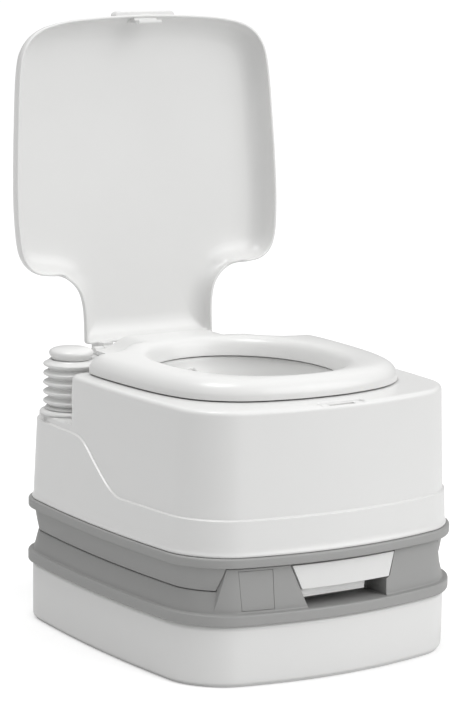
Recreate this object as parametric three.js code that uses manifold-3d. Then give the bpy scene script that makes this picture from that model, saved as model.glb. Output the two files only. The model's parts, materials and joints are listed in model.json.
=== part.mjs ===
// Portable cassette toilet: a flush-water casing with bowl, seat and lid, which stands on a waste tank.
// Millimetres, +Z up, front towards -Y, right towards +X, floor at z = 0.
import * as THREE from 'three';
import { mergeVertices } from 'three/addons/utils/BufferGeometryUtils.js';
import Module from 'manifold-3d';

const wasm = await Module();
wasm.setup();

// ---------------------------------------------------------------- driving dimensions

const HALF_WIDTH = 191.5;          // at the two grey flanges
const HALF_DEPTH = 213.5;
const CORNER_RADIUS = 50;
const FRONT_BOW = 32;              // how far the front swells past its corners
const SIDE_BOW = 12;
const REAR_BOW = 6;
const WALL = 3;
const GAP = 0.3;                   // between pieces that touch

const TUB_TOP = 68.7;
const LOWER_FLANGE = [69, 81.6];
const TANK_DECK = 104.7;
const SKIRT_BOTTOM = 105.7;
const UPPER_FLANGE = [132.7, 143.3];
const CASING_BOTTOM = UPPER_FLANGE[1] + GAP;
const PLATFORM = 245;              // the two rear corners, where the pump and the filler stand
const DECK = 300.5;
const SEAT_BOTTOM = 302;
const CREST = 324;               // top of the seat
const LID_TOP = 330;

const BAND_INSET = 6.5;            // of the grey band above the lower flange
const WAIST_INSET = 12;            // where the two halves meet
const BOWL_Y = -5;
const OUTLET_RADIUS = 42;

const NOTCH_FRONT = 96;            // front wall of the two rear corners
const NECK_HALF_WIDTH = 93;
const PUMP = [-143, 143];
const FILLER = [143, 143];

const HINGE_Y = 192;
const HINGE_Z = SEAT_BOTTOM;
const LID_ANGLE = 94;              // from closed to open, in degrees
const PIN_RADIUS = 3;
const LUG_RADIUS = 7;
const PIN_SPAN = [35, 83];         // of each hinge pin, along X

const NICHE_HALF_WIDTH = 105;      // rear recess that stores the pour-out spout
const NICHE_FRONT = 148;
const NICHE_FLOOR = 85;
const SPOUT = [72, 172, 107.5];      // swivel axis in X and Y, tube's centre in Z
const SPOUT_RADIUS = 17;
const SPOUT_END = -72;
const CAP_RADIUS = 20;
const VENT = [-93, 166];
const GAUGE = [-124, -89];         // left and right edge of the blanking plate

// ---------------------------------------------------------------- materials

function plastic(color, roughness) {
  return new THREE.MeshStandardMaterial({ color, roughness, metalness: 0 });
}

const WHITE = plastic('#f1f1ef', 0.3);
const GREY = plastic('#9d9fa0', 0.5);
const DARK = plastic('#3b3d3f', 0.55);
const RUBBER = plastic('#26272a', 0.8);
const CLEAR_HOSE = plastic('#d9dddd', 0.35);
const STEEL = new THREE.MeshStandardMaterial({ color: '#b9bcbf', roughness: 0.3, metalness: 1 });

// ---------------------------------------------------------------- solids

function solid(geometry) {
  const bare = geometry.clone();
  bare.deleteAttribute('normal');
  bare.deleteAttribute('uv');
  const merged = mergeVertices(bare, 1e-4);
  return new wasm.Manifold(new wasm.Mesh({
    numProp: 3,
    vertProperties: new Float32Array(merged.attributes.position.array),
    triVerts: new Uint32Array(merged.index.array),
  }));
}

function join(first, ...others) {
  return others.reduce((sum, other) => sum.add(other), first);
}

function cut(first, ...others) {
  return others.reduce((rest, other) => rest.subtract(other), first);
}

function box(x, y, z) {
  const geometry = new THREE.BoxGeometry(x[1] - x[0], y[1] - y[0], z[1] - z[0]);
  geometry.translate((x[0] + x[1]) / 2, (y[0] + y[1]) / 2, (z[0] + z[1]) / 2);
  return solid(geometry);
}

function disc(radius, [x, y], z, topRadius = radius, segments = 24) {
  const geometry = new THREE.CylinderGeometry(topRadius, radius, z[1] - z[0], segments);
  geometry.rotateX(Math.PI / 2);
  geometry.translate(x, y, (z[0] + z[1]) / 2);
  return solid(geometry);
}

function barX(radius, [y, z], x, segments = 20) {
  const geometry = new THREE.CylinderGeometry(radius, radius, x[1] - x[0], segments);
  geometry.rotateZ(Math.PI / 2);
  geometry.translate((x[0] + x[1]) / 2, y, z);
  return solid(geometry);
}

function barY(radius, [x, z], y, segments = 16) {
  const geometry = new THREE.CylinderGeometry(radius, radius, y[1] - y[0], segments);
  geometry.translate(x, (y[0] + y[1]) / 2, z);
  return solid(geometry);
}

function ball(radius, [x, y, z]) {
  const geometry = new THREE.SphereGeometry(radius, 20, 8);
  geometry.translate(x, y, z);
  return solid(geometry);
}

// A closed profile of [radius, z] points, turned about a vertical axis
function turned(profile, [x, y], segments = 24) {
  const points = profile.map(([radius, z]) => new THREE.Vector2(radius, z));
  const geometry = new THREE.LatheGeometry(points, segments);
  geometry.rotateX(Math.PI / 2);
  geometry.translate(x, y, 0);
  return solid(geometry);
}

// A plan outline raised between two heights
function prism(shape, z, steps = 8) {
  const settings = { depth: z[1] - z[0], bevelEnabled: false, curveSegments: steps };
  const geometry = new THREE.ExtrudeGeometry(shape, settings);
  geometry.translate(0, 0, z[0]);
  return solid(geometry);
}

// A front-view outline of [x, z] points, extruded from front to rear
function frontPrism(points, y) {
  const shape = new THREE.Shape(points.map(([x, z]) => new THREE.Vector2(x, z)));
  const geometry = new THREE.ExtrudeGeometry(shape, { depth: y[1] - y[0], bevelEnabled: false });
  geometry.rotateX(Math.PI / 2);
  geometry.translate(0, y[1], 0);
  return solid(geometry);
}

function tube(points, radius, steps, sides = 10) {
  const section = new THREE.Shape();
  section.absarc(0, 0, radius, 0, Math.PI * 2);
  const path = new THREE.CatmullRomCurve3(points.map((point) => new THREE.Vector3(...point)));
  const settings = { steps, extrudePath: path, curveSegments: sides, bevelEnabled: false };
  return solid(new THREE.ExtrudeGeometry(section, settings));
}

// ---------------------------------------------------------------- outlines and lofts

// A rounded rectangle whose four sides swell outwards, anticlockwise from the front right corner
function swollenOutline({ halfWidth, front, rear, radius, frontBow }) {
  const cornerSteps = 5;
  const sideSteps = 4;
  const sideX = halfWidth - SIDE_BOW;
  const frontY = front + frontBow;
  const rearY = rear - REAR_BOW;
  const middleY = (frontY + rearY) / 2;
  const halfY = (rearY - frontY) / 2;
  const corners = [[1, -1], [1, 1], [-1, 1], [-1, -1]].map(([sx, sy], quarter) => {
    const points = [];
    for (let step = 0; step <= cornerSteps; step += 1) {
      const angle = (quarter - 1 + step / cornerSteps) * Math.PI / 2;
      const x = sx * (sideX - radius) + radius * Math.cos(angle);
      const y = middleY + sy * (halfY - radius) + radius * Math.sin(angle);
      points.push(new THREE.Vector2(x, y));
    }
    return points;
  });
  const outline = [];
  corners.forEach((corner, index) => {
    const next = corners[(index + 1) % 4][0];
    outline.push(...corner);
    for (let step = 1; step < sideSteps; step += 1) {
      outline.push(corner.at(-1).clone().lerp(next, step / sideSteps));
    }
  });
  return outline.map(({ x, y }) => {
    const across = x / sideX;
    const along = (y - middleY) / halfY;
    const bow = along < 0 ? frontBow : REAR_BOW;
    return new THREE.Vector2(
      x + across * SIDE_BOW * (1 - along ** 2),
      y + along * bow * (1 - across ** 2),
    );
  });
}

function oval(halfWidth, front, rear, exponent, count = 28) {
  const points = [];
  for (let index = 0; index < count; index += 1) {
    const angle = index / count * Math.PI * 2;
    const reach = (value) => Math.sign(value) * Math.abs(value) ** (2 / exponent);
    const middle = (front + rear) / 2;
    const x = halfWidth * reach(Math.cos(angle));
    points.push(new THREE.Vector2(x, middle + (rear - front) / 2 * reach(Math.sin(angle))));
  }
  return points;
}

// Half an outline from the middle of the front to the rear, smoothed and mirrored
function mirroredOutline(rightHalf, steps) {
  const curve = new THREE.SplineCurve(rightHalf.map(([x, y]) => new THREE.Vector2(x, y)));
  const right = curve.getPoints(steps);
  const left = right.slice(1).reverse().map(({ x, y }) => new THREE.Vector2(-x, y));
  return [...right, ...left];
}

function inset(outline, distance) {
  return outline.map((point, index) => {
    const before = outline.at(index - 1);
    const after = outline[(index + 1) % outline.length];
    const along = after.clone().sub(before).normalize();
    return new THREE.Vector2(point.x - along.y * distance, point.y + along.x * distance);
  });
}

// Outlines with the same number of points, joined from the lowest to the highest: [[outline, z], ...]
function loft(levels) {
  const count = levels[0][0].length;
  const positions = levels.flatMap(([outline, z]) => outline.flatMap(({ x, y }) => [x, y, z]));
  const triangles = [];
  for (let level = 0; level < levels.length - 1; level += 1) {
    for (let index = 0; index < count; index += 1) {
      const a = level * count + index;
      const b = level * count + (index + 1) % count;
      triangles.push(a, b, b + count, a, b + count, a + count);
    }
  }
  const top = (levels.length - 1) * count;
  const bottomCentre = levels.length * count;
  for (const [outline, z] of [levels[0], levels.at(-1)]) {
    const sum = outline.reduce((total, point) => total.add(point), new THREE.Vector2());
    positions.push(sum.x / count, sum.y / count, z);
  }
  for (let index = 0; index < count; index += 1) {
    const next = (index + 1) % count;
    triangles.push(bottomCentre, next, index, bottomCentre + 1, top + index, top + next);
  }
  const geometry = new THREE.BufferGeometry();
  geometry.setAttribute('position', new THREE.Float32BufferAttribute(positions, 3));
  geometry.setIndex(triangles);
  return solid(geometry);
}

const FLANGE_OUTLINE = swollenOutline({
  halfWidth: HALF_WIDTH, front: -HALF_DEPTH, rear: HALF_DEPTH, radius: CORNER_RADIUS, frontBow: FRONT_BOW,
});

// [[inset from the flange outline, z], ...]
function stack(levels) {
  return loft(levels.map(([distance, z]) => [inset(FLANGE_OUTLINE, distance), z]));
}

// The white casing leans in towards its deck
function casingOutline(z) {
  const rise = (z - CASING_BOTTOM) / (DECK - CASING_BOTTOM);
  const mix = THREE.MathUtils.lerp;
  return swollenOutline({
    halfWidth: mix(186, 180.3, rise),
    front: mix(-208, -198.5, rise),
    rear: mix(208, 202.5, rise),
    radius: mix(48, 44, rise),
    frontBow: mix(31, 25, rise),
  });
}

function casingStack(levels) {
  return loft(levels.map(([distance, z]) => [inset(casingOutline(z), distance), z]));
}

// ---------------------------------------------------------------- the object

const group = new THREE.Group();
group.name = 'cassette_toilet';

function add(parent, name, shape, material) {
  const { vertProperties, triVerts } = shape.getMesh();
  const geometry = new THREE.BufferGeometry();
  geometry.setAttribute('position', new THREE.BufferAttribute(new Float32Array(vertProperties), 3));
  geometry.setIndex(new THREE.BufferAttribute(new Uint32Array(triVerts), 1));
  geometry.computeVertexNormals();
  const mesh = new THREE.Mesh(geometry, material);
  mesh.name = name;
  parent.add(mesh);
}

// ---- waste tank ----

const PANEL = { bottom: 82, top: 130.4, half: [145.5, 138.5] };
const POCKET_REAR = -168;
const GRIP = [[-48, 81.6], [57, 81.6], [57, 100], [62, 103], [69.5, 131], [-70, 131]];

// The front panel's face, pushed in by a distance
function panelFace(distance) {
  return stack([[BAND_INSET + distance, PANEL.bottom - 1], [8 + distance, PANEL.top]]);
}

function gaugeWindow(margin) {
  const [left, right] = GAUGE;
  return frontPrism([
    [left - 1 - margin, 84 - margin], [right + 1 + margin, 84 - margin],
    [right - 1 + margin, 128 + margin], [left - 5 - margin, 128 + margin],
  ], [-240, -120]);
}

function wasteTank() {
  const tub = cut(
    stack([[15, 0], [8.5, 1.4], [6, 6], [5.5, TUB_TOP]]),
    stack([[13, WALL], [9, 8], [8.5, TUB_TOP + 1]]),
  );
  add(group, 'tank_tub', tub, WHITE);

  const shell = cut(
    stack([
      [1.4, LOWER_FLANGE[0]], [0, LOWER_FLANGE[0] + 1.4], [0, LOWER_FLANGE[1] - 1.4],
      [1.4, LOWER_FLANGE[1]], [BAND_INSET, LOWER_FLANGE[1] + 0.1], [WAIST_INSET, TANK_DECK],
    ]),
    stack([[9, LOWER_FLANGE[0] - 1], [9, LOWER_FLANGE[1] - 3], [15, TANK_DECK - WALL]]),
  );
  const panelEnds = frontPrism([
    [-PANEL.half[0], PANEL.bottom], [PANEL.half[0], PANEL.bottom],
    [PANEL.half[1], PANEL.top], [-PANEL.half[1], PANEL.top],
  ], [-240, -100]);
  const panel = cut(panelFace(0), panelFace(4)).intersect(panelEnds);
  const pocketHull = GRIP.map(([x, z]) => [x + Math.sign(x) * WALL, Math.min(z, TANK_DECK)]);
  pocketHull[0][1] -= WALL;
  pocketHull[1][1] -= WALL;
  const pocketWalls = frontPrism([...pocketHull.slice(0, 4), [-65, TANK_DECK]], [-240, POCKET_REAR + WALL]);
  const nicheWalls = box(
    [-NICHE_HALF_WIDTH - WALL, NICHE_HALF_WIDTH + WALL],
    [NICHE_FRONT - WALL, 240], [NICHE_FLOOR - WALL - 2, TANK_DECK],
  );
  const inside = stack([[BAND_INSET + 0.5, 70], [WAIST_INSET + 0.2, TANK_DECK]]);
  const walled = join(shell, panel, pocketWalls.intersect(inside), nicheWalls.intersect(inside));
  const top = cut(
    walled,
    frontPrism(GRIP, [-240, POCKET_REAR]),
    box([-NICHE_HALF_WIDTH, NICHE_HALF_WIDTH], [NICHE_FRONT, 240], [NICHE_FLOOR, 140]),
    disc(OUTLET_RADIUS - 2, [0, BOWL_Y], [90, 110]),
    disc(20, SPOUT, [70, 90]),
    disc(9, VENT, [70, 90], 9, 20),
    cut(panelFace(-3), panelFace(1.8)).intersect(gaugeWindow(0)),
  );
  add(group, 'tank_top', top, GREY);
  add(group, 'gauge_plate', cut(panelFace(0.1), panelFace(1.5)).intersect(gaugeWindow(-0.5)), GREY);
}

// ---- slide valve under the bowl ----

const VALVE = { base: 105, slot: 107.8, cover: 111.2, top: 114.2, half: 62, front: -112, rear: 62 };

function valve() {
  const plate = (z) => box([-VALVE.half, VALVE.half], [VALVE.front, VALVE.rear], z);
  const bore = (radius) => disc(radius, [0, BOWL_Y], [100, 125]);
  const channel = box([-50, 50], [-200, 50], [VALVE.slot - GAP, 115]);
  const screwAt = (x, y) => [x * 56, y < 0 ? -100 : 54];
  const corners = [[-1, -1], [1, -1], [1, 1], [-1, 1]].map(([x, y]) => screwAt(x, y));
  const holes = corners.map((place) => disc(2.3, place, [104, 118], 2.3, 12));
  const base = cut(plate([VALVE.base, VALVE.cover - GAP]), bore(OUTLET_RADIUS - 2), channel, ...holes);
  const cover = cut(plate([VALVE.cover, VALVE.top]), bore(OUTLET_RADIUS), ...holes);
  add(group, 'valve_base', base, DARK);
  add(group, 'valve_cover', cover, DARK);
  add(group, 'lip_seal', turned([
    [40.5, VALVE.top + GAP], [48, VALVE.top + GAP], [48, 116.5], [45, 118], [43.5, 119], [40.5, 117],
    [40.5, VALVE.top + GAP],
  ], [0, BOWL_Y]), RUBBER);
  corners.forEach((place, index) => {
    const screw = join(
      disc(2, place, [VALVE.base, VALVE.top + 1], 2, 10),
      disc(4, place, [VALVE.top + GAP, VALVE.top + 2.6], 3, 14),
    );
    add(group, `valve_screw_${index + 1}`, screw, STEEL);
  });

  const blade = join(
    box([-49.6, 49.6], [-62, 49.6], [VALVE.slot, VALVE.cover - 0.6]),
    box([-20, 20], [-188, -61], [VALVE.slot, VALVE.cover - 0.6]),
  );
  add(group, 'valve_blade', blade, DARK);

  const front = stack([[5.8, 90], [7, 131]]);
  const face = frontPrism([[-56, 103], [59.5, 103], [67.5, 129.7], [-67.5, 129.7]], [-240, -194]);
  const tongueSocket = box([-26, 26], [-195, -182], [104, 114]);
  const bladeSlot = box([-20.3, 20.3], [-189, -180], [VALVE.slot - GAP, VALVE.cover - GAP]);
  const fingerLip = frontPrism([[-50, 92.5], [27, 92.5], [32, 98], [32, 104], [-54, 104]], [-197, -190]);
  const handle = cut(join(face.intersect(front), tongueSocket, fingerLip), bladeSlot);
  add(group, 'pull_handle', handle, WHITE);
}

// ---- pour-out spout and vent, in the rear niche ----

function spout() {
  const [x, y, z] = SPOUT;
  add(group, 'spout_bearing', turned([
    [15, 80], [19.7, 80], [19.7, NICHE_FLOOR + GAP], [23.5, NICHE_FLOOR + GAP], [23.5, 87.3], [15, 87.3],
    [15, 80],
  ], [x, y]), DARK);
  const neck = [SPOUT_END, SPOUT_END + 11];
  const body = join(
    disc(22.5, [x, y], [87.6, 90.4]),
    disc(SPOUT_RADIUS, [x, y], [90, z]),
    ball(SPOUT_RADIUS, SPOUT),
    barX(SPOUT_RADIUS, [y, z], [neck[1], x]),
    barX(15, [y, z], neck),
  );
  const bore = join(disc(13.5, [x, y], [80, z]), ball(13.5, SPOUT), barX(13.5, [y, z], [SPOUT_END - 5, x]));
  add(group, 'pour_spout', cut(body, bore), GREY);

  const capMouth = neck[1] - GAP;
  const ribs = [...Array(10).keys()].map((index) => {
    const angle = index / 10 * Math.PI * 2;
    const place = [y + Math.cos(angle) * CAP_RADIUS * 0.975, z + Math.sin(angle) * CAP_RADIUS * 0.975];
    return barX(1.4, place, [SPOUT_END - 4, capMouth], 6);
  });
  const cap = cut(
    join(barX(CAP_RADIUS - 1, [y, z], [SPOUT_END - 6, capMouth], 24), ...ribs),
    barX(15.4, [y, z], [SPOUT_END - 2.6, capMouth + 1]),
  );
  add(group, 'spout_cap', cap, DARK);
  const gasket = cut(
    barX(15, [y, z], [SPOUT_END - 2.3, SPOUT_END - GAP]),
    barX(10, [y, z], [SPOUT_END - 4, SPOUT_END + 1]),
  );
  add(group, 'spout_gasket', gasket, RUBBER);
}

const VENT_RIM = 86.8;

function vent() {
  add(group, 'vent_guide', turned([
    [5.3, 79], [8.7, 79], [8.7, NICHE_FLOOR + GAP], [11, NICHE_FLOOR + GAP], [11, VENT_RIM], [5.3, VENT_RIM],
    [5.3, 79],
  ], VENT, 16), DARK);
  add(group, 'vent_button', turned([
    [0, 76], [4.9, 76], [4.9, 90.5], [8, 90.5], [8, 93], [6.5, 94.2], [0, 94.6],
  ], VENT, 16), DARK);
  const turns = 2;
  const rise = [VENT_RIM + 0.8, 89.7];
  const coil = [...Array(turns * 10 + 1).keys()].map((index) => {
    const angle = index / 10 * Math.PI * 2;
    const height = THREE.MathUtils.lerp(rise[0], rise[1], index / (turns * 10));
    return [VENT[0] + 6.4 * Math.cos(angle), VENT[1] + 6.4 * Math.sin(angle), height];
  });
  add(group, 'vent_spring', tube(coil, 0.45, turns * 9, 3), STEEL);
}

// ---- rear latch between the two halves ----

const LATCH_X = [121, 141];

function latch() {
  const [left, right] = LATCH_X;
  const guide = cut(
    box([left - 4, right + 4], [164, 190], [TANK_DECK + GAP, 114]),
    box([left - GAP, right + GAP], [150, 200], [109.5, 112.7]),
    box([left + 5, right - 5], [150, 200], [111, 115]),
  );
  add(group, 'latch_guide', guide, DARK);
  const slider = join(
    box([left, right], [167, 193], [109.8, 112.4]),
    box([left + 5.4, right - 5.4], [178, 193], [112, 117.5]),
  );
  add(group, 'latch_slider', slider, GREY);
  const keeper = join(
    box([left + 2, right - 2], [149, 152], [106.2, UPPER_FLANGE[0] - GAP]),
    box([left + 2, right - 2], [149, 162], [106.2, 109.2]),
    box([left - 2, right + 2], [144, 162], [129.5, UPPER_FLANGE[0] - GAP]),
  );
  add(group, 'latch_keeper', keeper, DARK);
}

// ---- flush-water casing ----

// The plan of one rear corner that is lower than the deck; a wall grows it into the casing
function notchShape(grow) {
  const corner = [-157, NOTCH_FRONT - 22];
  const fillet = [-NECK_HALF_WIDTH - 30, NOTCH_FRONT + 30];
  const shape = new THREE.Shape();
  shape.moveTo(-260, corner[1]);
  shape.lineTo(corner[0] - 22 + grow, corner[1]);
  shape.absarc(corner[0], corner[1], 22 - grow, Math.PI, Math.PI / 2, true);
  shape.absarc(fillet[0], fillet[1], 30 + grow, -Math.PI / 2, 0, false);
  shape.lineTo(fillet[0] + 30 + grow, 260);
  shape.lineTo(-260, 260);
  shape.closePath();
  return shape;
}

function notches(grow) {
  const left = prism(notchShape(grow), [PLATFORM - grow, 340], 7);
  return join(left, left.mirror([1, 0, 0]));
}

// Bowl sections from the outlet up: height, half width, front and rear
const BOWL_LEVELS = [
  [119.4, OUTLET_RADIUS, BOWL_Y - OUTLET_RADIUS, BOWL_Y + OUTLET_RADIUS],
  [140, 44, BOWL_Y - 44, BOWL_Y + 44],
  [165, 56, -66, 50],
  [200, 76, -92, 72],
  [245, 94, -114, 95],
  [285, 103, -124, 112],
  [DECK, 105, -127, 116],
];

function bowlLoft(distance) {
  const [low, high] = distance > 0 ? [-1, 1] : [0, 0];
  return loft(BOWL_LEVELS.map(([z, halfWidth, front, rear], index) => {
    const outline = oval(halfWidth, front, rear, 2.15);
    const shift = index === 0 ? low : index === BOWL_LEVELS.length - 1 ? high : 0;
    return [inset(outline, distance), z + shift];
  }));
}

function casing() {
  const outer = casingStack([
    [-2.2, CASING_BOTTOM], [-2.2, 146], [0, 149], [0, 297.2], [1, 299.5], [3.2, DECK],
  ]);
  const inner = casingStack([[WALL, CASING_BOTTOM - 1], [WALL, 149], [WALL, DECK - WALL]]);
  const hingeWell = box([-85, 85], [183, 240], [HINGE_Z - 9.5, 320]);
  const wellWalls = box([-88, 88], [180, 240], [HINGE_Z - 12.5, 320]);
  const posts = [-1, 1].flatMap((side) => [[PIN_SPAN[0] - 6, 42], [72, 84.5]].map(([from, to]) => {
    const x = side > 0 ? [from, to] : [-to, -from];
    return join(
      box(x, [HINGE_Y - LUG_RADIUS, HINGE_Y + LUG_RADIUS], [HINGE_Z - 11, HINGE_Z]),
      barX(LUG_RADIUS, [HINGE_Y, HINGE_Z], x),
    );
  }));
  const pinHoles = [-1, 1].map((side) => {
    const x = side > 0 ? [PIN_SPAN[0] - GAP, PIN_SPAN[1] + GAP] : [-PIN_SPAN[1] - GAP, -PIN_SPAN[0] + GAP];
    return barX(PIN_RADIUS + 0.25, [HINGE_Y, HINGE_Z], x);
  });
  const catchSlot = join(
    box([-28, 28], [-215, -185.5], [298.4, 305]),
    box([-17, 17], [-194, -187], [285, 305]),
  );
  const hollow = cut(inner, notches(WALL), wellWalls);
  const shell = cut(join(cut(outer, notches(0), hingeWell), ...posts), hollow);
  const body = cut(
    shell,
    loft([[oval(105.4, -127.4, 116.4, 2.15), 280], [oval(105.4, -127.4, 116.4, 2.15), 310]]),
    catchSlot,
    disc(33, PUMP, [230, 250]),
    disc(19, FILLER, [230, 250]),
    ...pinHoles,
  );
  add(group, 'flush_casing', body, WHITE);
  [-1, 1].forEach((side) => {
    const x = side > 0 ? PIN_SPAN : [-PIN_SPAN[1], -PIN_SPAN[0]];
    const pin = barX(PIN_RADIUS, [HINGE_Y, HINGE_Z], x);
    add(group, side > 0 ? 'hinge_pin_right' : 'hinge_pin_left', pin, STEEL);
  });

  const skirtCut = (half) => frontPrism([
    [-half, SKIRT_BOTTOM - 1], [half, SKIRT_BOTTOM - 1],
    [half - 6.5, UPPER_FLANGE[0]], [6.5 - half, UPPER_FLANGE[0]],
  ], [-240, -60]);
  const skirt = cut(
    stack([[WAIST_INSET + 0.3, SKIRT_BOTTOM], [7.5, UPPER_FLANGE[0] + 0.5]]),
    stack([[WAIST_INSET + 3.3, SKIRT_BOTTOM - 1], [10.5, UPPER_FLANGE[0] + 1]]),
    skirtCut(147.5),
    box([-151, 151], [60, 240], [SKIRT_BOTTOM - 1, UPPER_FLANGE[0]]),
  );
  const flange = cut(
    stack([
      [1.2, UPPER_FLANGE[0]], [0, UPPER_FLANGE[0] + 1.2], [0, UPPER_FLANGE[1] - 1.2], [1.2, UPPER_FLANGE[1]],
    ]),
    stack([[10, UPPER_FLANGE[0] + WALL], [10, UPPER_FLANGE[1] + 1]]),
    disc(46.5, [0, BOWL_Y], [130, 140], 46.5, 40),
  );
  add(group, 'base_skirt', join(flange, skirt), GREY);

  const bowl = cut(
    join(bowlLoft(0), loft([[oval(112, -134, 123, 2.15), 294], [oval(112, -134, 123, 2.15), 297.2]])),
    bowlLoft(2.6),
    barY(6.4, [0, 284], [100, 140]),
  );
  add(group, 'bowl', bowl, WHITE);
}

// ---- flush pump, hose and filler ----

const RIBS = { first: 254, pitch: 10.7, count: 5, outer: 32, valley: 25 };
const KNOB_BOTTOM = 311.5;

function pump() {
  const ridge = [...Array(RIBS.count).keys()].flatMap((index) => {
    const z = RIBS.first + RIBS.pitch * (index + 0.5);
    return [
      [RIBS.valley, z - RIBS.pitch / 2], [RIBS.outer, z - 1.8], [RIBS.outer, z + 1.8],
    ];
  });
  const top = RIBS.first + RIBS.pitch * RIBS.count;
  const inner = [[RIBS.valley - 2, top - 2], [RIBS.valley - 2, 250.3], [29, 250.3]];
  add(group, 'pump_bellows', turned([
    [29, 250.3], [29, 252], ...ridge, [RIBS.valley - 1, top], [0, top], [0, top - 2], ...inner,
  ], PUMP), WHITE);
  add(group, 'pump_knob', turned([
    [0, top + GAP], [22, top + GAP], [24, KNOB_BOTTOM], [25.5, KNOB_BOTTOM + 2], [24.5, 317.5],
    [18, 320.4], [8, 321.6], [0, 322],
  ], PUMP), WHITE);
  add(group, 'pump_base', turned([
    [24, 236], [32.6, 236], [32.6, PLATFORM + GAP], [36, PLATFORM + GAP], [36, 248], [33, 250], [8, 250],
    [8, 247], [24, 247], [24, 236],
  ], PUMP), WHITE);
  add(group, 'dip_tube', turned([
    [5, 150], [7.6, 150], [7.6, 246.5], [5, 246.5], [5, 150],
  ], PUMP, 16), CLEAR_HOSE);
  const hosePath = [
    [-134, 138, 229.5], [-106, 131, 228], [-82, 131, 236], [-64, 134, 262], [-40, 136, 280], [-15, 139, 284],
    [-2, 131.5, 284],
  ];
  add(group, 'flush_hose', tube(hosePath, 5, 24, 5), CLEAR_HOSE);
  const nozzle = cut(
    join(barY(6, [0, 284], [107, 126]), barY(9, [0, 284], [117.5, 120])),
    barY(3.6, [0, 284], [100, 122]),
  );
  add(group, 'flush_nozzle', nozzle, WHITE);
}

function filler() {
  add(group, 'filler_neck', turned([
    [14, 225], [18.7, 225], [18.7, PLATFORM + GAP], [26, PLATFORM + GAP], [26, 247.5], [20, 248.5], [20, 256],
    [17, 256], [14, 253], [14, 225],
  ], FILLER), WHITE);
  const ribs = [...Array(12).keys()].map((index) => {
    const angle = index / 12 * Math.PI * 2;
    const place = [FILLER[0] + 25.2 * Math.cos(angle), FILLER[1] + 25.2 * Math.sin(angle)];
    return disc(1.6, place, [250, 260], 1.2, 6);
  });
  const crown = turned([
    [20.6, 249.3], [25, 249.3], [25, 260], [22, 262.5], [0, 263.2], [0, 258.4], [20.6, 258.4], [20.6, 249.3],
  ], FILLER);
  add(group, 'filler_cap', join(crown, ...ribs), WHITE);
  add(group, 'filler_gasket', turned([
    [14, 256.3], [20, 256.3], [20, 258.1], [14, 258.1], [14, 256.3],
  ], FILLER), RUBBER);
}

// ---- lid and seat outlines ----

const LID_EDGE = [
  [0, -392], [60, -390], [108, -386], [142, -377], [162, -359], [171, -330], [176, -264], [179, -200],
  [179, -160], [176, -125], [168, -106], [154, -96], [136, -93], [120, -91], [106, -84], [95, -72],
  [90, -58], [88, -40], [88, -9],
];

const LID_INNER = [[2.8, -1], [3.2, 5], [6, 15], [11, 22], [19, LID_TOP - HINGE_Z - 2.6]];

function lidLoft(levels) {
  const outline = mirroredOutline(LID_EDGE, 28);
  return loft(levels.map(([distance, z]) => [inset(outline, distance), z]));
}

// ---- seat ----

const SEAT_EDGE = [
  [0, -161], [35, -159], [81, -149], [113, -132], [137, -105], [151, -62], [157, -10], [159, 40],
  [158, 70], [155, 83], [147, 91.5], [137, 94], [126, 95], [114, 100.5], [98, 116], [91, 138], [88, 160],
  [88, 184],
];

function lug(side, from, to, reach) {
  const x = side > 0 ? [from, to] : [-to, -from];
  const arm = reach(x);
  return cut(join(barX(LUG_RADIUS, [0, 0], x), arm), barX(PIN_RADIUS + 0.3, [0, 0], [x[0] - 1, x[1] + 1]));
}

// The seat and the lid are built closed, about their own hinge line
function atHinge(shape) {
  return shape.translate([0, -HINGE_Y, -HINGE_Z]);
}

function seat() {
  const outline = mirroredOutline(SEAT_EDGE, 24);
  const dome = [[0, SEAT_BOTTOM], [0, 308], [2.5, 314], [7, 318.5], [13, CREST]];
  const under = [[WALL, SEAT_BOTTOM - 1], [WALL, 306], [5.5, 311.5], [10, 315.5]];
  const stacked = (levels) => loft(levels.map(([distance, z]) => [inset(outline, distance), z]));
  const opening = (margin) => oval(100 + margin, -122 - margin, 111 + margin, 2.1);
  const hole = (margin) => loft([
    [opening(margin), 300], [opening(margin + 1), 312], [opening(margin + 8), CREST + 1],
  ]);
  // The closed lid's hollow, less a clearance: the rear of the seat keeps inside it
  const room = lidLoft(LID_INNER.map(([distance, z]) => [distance + 1.6, z]));
  const tooTall = cut(box([-175, 175], [85, 200], [310, 330]), room.translate([0, HINGE_Y, HINGE_Z]));
  const endCorners = [-1, 1].map((side) => box(side > 0 ? [78, 95] : [-95, -78], [166, 200], [310, 330]));
  const channelEnd = box([-200, 200], [120, 240], [290, 330]);
  const channel = cut(stacked(under), hole(WALL), channelEnd);
  const ring = atHinge(cut(stacked(dome), channel, hole(0), tooTall, ...endCorners));
  const lugs = [-1, 1].map((side) => lug(side, 43, 57.4, (x) => box(x, [-12, 3], [0, 7])));
  const relief = [-1, 1].map((side) => {
    const x = side > 0 ? [58, 85] : [-85, -58];
    return box(x, [-13, 10], [-1, 30]);
  });
  const pivot = new THREE.Group();
  pivot.position.set(0, HINGE_Y, HINGE_Z);
  group.add(pivot);
  add(pivot, 'seat', join(cut(ring, ...relief), ...lugs), WHITE);
  [-1, 1].forEach((side) => {
    const name = side > 0 ? 'seat_buffer_right' : 'seat_buffer_left';
    const place = [side * 70, -138];
    add(group, name, disc(5, place, [DECK + GAP, 301.7], 4.4, 16), RUBBER);
  });
}

// ---- lid ----

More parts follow.
